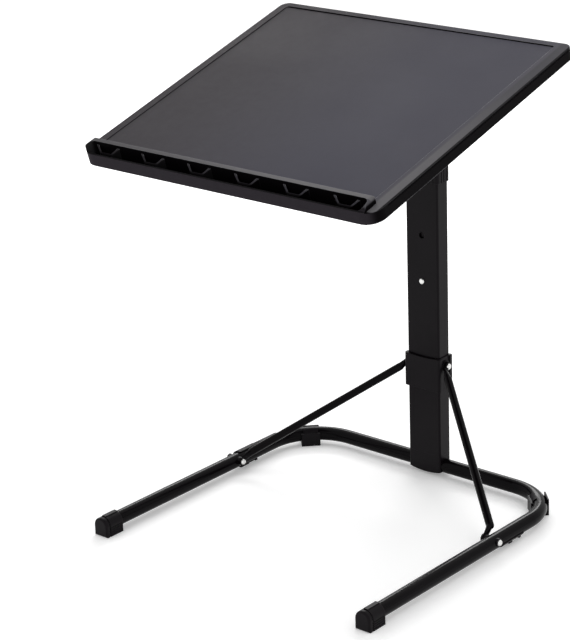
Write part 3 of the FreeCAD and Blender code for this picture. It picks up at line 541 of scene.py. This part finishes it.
def rivets():
    rivet_heads("leg_pivot_rivet_heads", "base", "leg_pivot_rivets", LEG_RIVET_SHANK,
                [(ACROSS * side, Vector((side * LEG_RIVET_SEAT, PIVOT_Y, PIVOT_Z))) for side in SIDES])
    for side, body in zip(SIDES, ("left_brace", "right_brace")):
        rivet_heads(body + "_rivet_head", body, body + "_rivet", BRACE_RIVET_SHANK,
                    [(ACROSS * -side, Vector((side * BRACE_RIVET_SEAT, PIVOT_Y, PIVOT_Z)))])
    rivet_heads("collar_bolt_heads", "collar", "collar_bolts", COLLAR_BOLT_SHANK,
                [(ACROSS * side, Vector((side * COLLAR_BOLT_SEAT, HINGE.y, COLLAR_PIVOT_Z))) for side in SIDES])


def screw_heads(name, body, replaced, shank, axis, places):
    """A piece of cross-recessed screws that all point one way."""
    shape = bmesh.new()
    for place in places:
        turned(shape, (*SCREW_HEAD, (SCREW_HEAD[-1][0], -shank)), axis, place, SCREW_RECESS)
    add_piece(name, shape, "screw_steel", body, [replaced])


def cross_screws():
    screw_heads("saddle_cross_screws", "column", "saddle_screws", SCREW_SHANK, REARWARD,
                [Vector((side * SADDLE_SCREW_X, SADDLE_SCREW_Y, SADDLE_SCREW_Z)) for side in SIDES])
    screw_heads("head_cross_screws", "inner_post", "head_screws", SCREW_SHANK, REARWARD,
                [Vector((side * HEAD_SCREW_X, HEAD_SCREW_Y, HEAD_SCREW_Z)) for side in SIDES])
    screw_heads("bracket_cross_screws", "tray", "bracket_screws", SCREW_SHANK, -TRAY_UP,
                [tray_point(side * BRACKET_SCREW_X, row, BRACKET_SCREW_SEAT)
                 for row in BRACKET_SCREW_ROWS for side in SIDES])
    screw_heads("panel_cross_screws", "tray", "panel_screws", PANEL_SCREW_SHANK, -TRAY_UP,
                [tray_point(x, row, PANEL_SCREW_SEAT) for row in PANEL_SCREW_ROWS for x in PANEL_SCREW_X])


# The bent tube, and the gap between it and what hugs it
BEND_RADIUS = 0.085
BEND_MIDDLE = math.radians(45)
TUBE_AXIS_Z = 0.016
TUBE_RADIUS = 0.011
LEG_X = 0.245
HUG_GAP = 0.0002
# Tongues of the corner feet, on the inner side of the tube's bends: angles up from the tube's axis
TONGUE_THICK = 0.0014
TONGUE_LENGTH = 0.026
TONGUE_LOW = math.radians(20)
TONGUE_TOP = math.radians(66)
TONGUE_STEPS = 12
TONGUE_TURNS = 8
MERGE_DISTANCE = 0.00002


def foot_tongues():
    inner = TUBE_RADIUS + HUG_GAP
    half = TONGUE_LENGTH / 2 / BEND_RADIUS
    facing = BEND_MIDDLE - half
    for side, name in zip(SIDES, ("left_foot_tongue", "right_foot_tongue")):
        centre = Vector((side * (LEG_X - BEND_RADIUS), HINGE.y - BEND_RADIUS, 0))
        outward = Vector((side * math.cos(facing), math.sin(facing), 0))
        axis_point = centre + outward * BEND_RADIUS + UPRIGHT * TUBE_AXIS_Z
        start = -outward * math.cos(TONGUE_LOW) + UPRIGHT * math.sin(TONGUE_LOW)
        shape = bmesh.new()
        low = shape.verts.new(axis_point + start * inner)
        high = shape.verts.new(axis_point + start * (inner + TONGUE_THICK))
        edge = shape.edges.new((low, high))
        bmesh.ops.spin(shape, geom=[edge, low, high], cent=axis_point, axis=outward.cross(UPRIGHT),
                       angle=TONGUE_LOW - TONGUE_TOP, steps=TONGUE_STEPS)
        section = list(shape.faces) + list(shape.edges) + list(shape.verts)
        bmesh.ops.spin(shape, geom=section, cent=centre, axis=UPRIGHT, angle=side * 2 * half,
                       steps=TONGUE_TURNS)
        bmesh.ops.remove_doubles(shape, verts=shape.verts, dist=MERGE_DISTANCE)
        add_piece(name, shape, "black_plastic", "base")


# Straps on the legs: places behind the leg pivot, and angles about the leg from its right side upwards
STRAP_STEPS = 20
# Sleeve on the outer side of the left leg, behind its clip
SLEEVE_WALL = 0.0013
SLEEVE_FRONT = 0.047
SLEEVE_BACK = 0.101
SLEEVE_START = math.radians(58)
SLEEVE_SWEEP = math.radians(150)
SLEEVE_EASING = 0.0004
SLEEVE_EASING_STEPS = 2
SQUARE_CORNER = math.radians(90)
CORNER_SLACK = math.radians(5)
# Cradle clip under the right leg, with two pads
CRADLE_WALL = 0.0011
CRADLE_FRONT = 0.012
CRADLE_BACK = 0.062
CRADLE_START = math.radians(-158)
CRADLE_SWEEP = math.radians(136)
CRADLE_PADS = ((0.033, 0.041), (0.057, 0.062))
PAD_HALF_WIDTH = 0.006
PAD_LOW = 0.002
PAD_HIGH = 0.008
PAD_EASING = 0.0008
PAD_EASING_STEPS = 3


def leg_strap(x, front, back, start, sweep, wall):
    """A strap round part of a leg: its ends behind the leg pivot, its angles about the leg, and its wall."""
    shape = bmesh.new()
    axis_point = Vector((x, PIVOT_Y + front, TUBE_AXIS_Z))
    outward = Vector((math.cos(start), 0, math.sin(start)))
    near = shape.verts.new(axis_point + outward * (TUBE_RADIUS + HUG_GAP))
    far = shape.verts.new(axis_point + outward * (TUBE_RADIUS + HUG_GAP + wall))
    edge = shape.edges.new((near, far))
    bmesh.ops.spin(shape, geom=[edge, near, far], cent=axis_point, axis=-REARWARD, angle=sweep,
                   steps=STRAP_STEPS)
    made = bmesh.ops.extrude_face_region(shape, geom=list(shape.faces))["geom"]
    bmesh.ops.translate(shape, vec=(0, back - front, 0),
                        verts=[v for v in made if isinstance(v, bmesh.types.BMVert)])
    return shape


def left_sleeve():
    shape = leg_strap(-LEG_X, SLEEVE_FRONT, SLEEVE_BACK, SLEEVE_START, SLEEVE_SWEEP, SLEEVE_WALL)
    rims = [e for e in shape.edges
            if e.is_manifold and abs(e.calc_face_angle() - SQUARE_CORNER) < CORNER_SLACK]
    ease(shape, rims, SLEEVE_EASING, SLEEVE_EASING_STEPS)
    add_piece("left_leg_sleeve", shape, "black_plastic", "base")


def right_cradle():
    shape = leg_strap(LEG_X, CRADLE_FRONT, CRADLE_BACK, CRADLE_START, CRADLE_SWEEP, CRADLE_WALL)
    for front, back in CRADLE_PADS:
        size = Matrix.Diagonal((2 * PAD_HALF_WIDTH, back - front, PAD_HIGH - PAD_LOW, 1))
        middle = Vector((LEG_X, PIVOT_Y + (front + back) / 2, (PAD_LOW + PAD_HIGH) / 2))
        pad = bmesh.ops.create_cube(shape, size=1.0, matrix=Matrix.Translation(middle) @ size)["verts"]
        ease(shape, edges_at(pad), PAD_EASING, PAD_EASING_STEPS)
    add_piece("right_leg_cradle", shape, "black_plastic", "base", ["right_leg_clip"])


# Studio, in metres and watts
WHITE = (1, 1, 1, 1)
FLOOR_HALF = 40.0
FLOOR_TONE = 0.94
FLOOR_ROUGHNESS = 0.9
FLOOR_SPECULAR = 0.1
FLOOR_LIFT = 0.22
# Sky: the way to its brightest point, its lowest and highest strength, and the cosine where it is lowest
SKY_TOWARDS = Vector((-0.35, 0.55, 0.76)).normalized()
SKY_DIM = 0.35
SKY_BRIGHT = 1.15
SKY_DIM_AT = -0.6
TOP_SOFTBOX = {"place": Vector((-0.6, 0.7, 3.2)), "target": Vector((0, 0, 0.3)), "size": (2.6, 2.6),
               "power": 10.0}
REAR_STRIP = {"place": Vector((-1.4, 2.0, 1.45)), "target": Vector((0, 0, 0.1)), "size": (1.6, 0.5),
              "power": 26.0}


def seen_rays(s):
    """Rays that look at the background: straight, by reflection or through glass."""
    rays = s.add("ShaderNodeLightPath")
    seen = rays
    socket = "Is Camera Ray"
    for other in ("Is Glossy Ray", "Is Transmission Ray"):
        either = s.add("ShaderNodeMath", operation="MAXIMUM")
        s.join(seen, socket, either, 0)
        s.join(rays, other, either, 1)
        seen = either
        socket = 0
    return seen


def studio_floor():
    shape = bmesh.new()
    bmesh.ops.create_grid(shape, x_segments=1, y_segments=1, size=FLOOR_HALF)
    mesh = bpy.data.meshes.new("floor")
    shape.to_mesh(mesh)
    shape.free()
    floor = bpy.data.objects.new("floor", mesh)
    paper = bpy.data.materials.new("white_floor")
    paper.use_nodes = True
    s = Shader(paper.node_tree)
    body = paper.node_tree.nodes["Principled BSDF"]
    s.put(body, Base_Color=(FLOOR_TONE, FLOOR_TONE, FLOOR_TONE, 1), Roughness=FLOOR_ROUGHNESS,
          Specular_IOR_Level=FLOOR_SPECULAR, Emission_Color=WHITE)
    s.join(s.scaled(seen_rays(s), 0, FLOOR_LIFT), 0, body, "Emission Strength")
    mesh.materials.append(paper)
    bpy.context.scene.collection.objects.link(floor)


def studio_sky():
    """Dome that looks white, with its light strongest behind and above the stand and weaker in front."""
    world = bpy.data.worlds.new("studio_white")
    world.use_nodes = True
    s = Shader(world.node_tree)
    sky = world.node_tree.nodes["Background"]
    s.put(sky, Color=WHITE)
    place = s.add("ShaderNodeTexCoord")
    facing = s.add("ShaderNodeVectorMath", operation="DOT_PRODUCT")
    facing.inputs[1].default_value = SKY_TOWARDS
    level = s.add("ShaderNodeMapRange")
    s.put(level, From_Min=SKY_DIM_AT, From_Max=1.0, To_Min=SKY_DIM, To_Max=SKY_BRIGHT)
    white = s.add("ShaderNodeMath", operation="MAXIMUM")
    s.join(place, "Generated", facing, 0)
    s.join(facing, "Value", level, "Value")
    s.join(level, "Result", white, 0)
    s.join(seen_rays(s), 0, white, 1)
    s.join(white, 0, sky, "Strength")
    bpy.context.scene.world = world


def softbox(name, place, target, size, power):
    light = bpy.data.lights.new(name, "AREA")
    light.shape = "RECTANGLE"
    light.size, light.size_y = size
    light.energy = power
    lamp = bpy.data.objects.new(name, light)
    lamp.location = place
    lamp.rotation_euler = (target - place).to_track_quat("-Z", "Y").to_euler()
    bpy.context.scene.collection.objects.link(lamp)


bpy.context.scene.view_settings.view_transform = "Standard"
photo_camera()
dress_nodes()
rivets()
cross_screws()
foot_tongues()
left_sleeve()
right_cradle()
studio_floor()
studio_sky()
softbox("top_softbox", **TOP_SOFTBOX)
softbox("rear_strip", **REAR_STRIP)
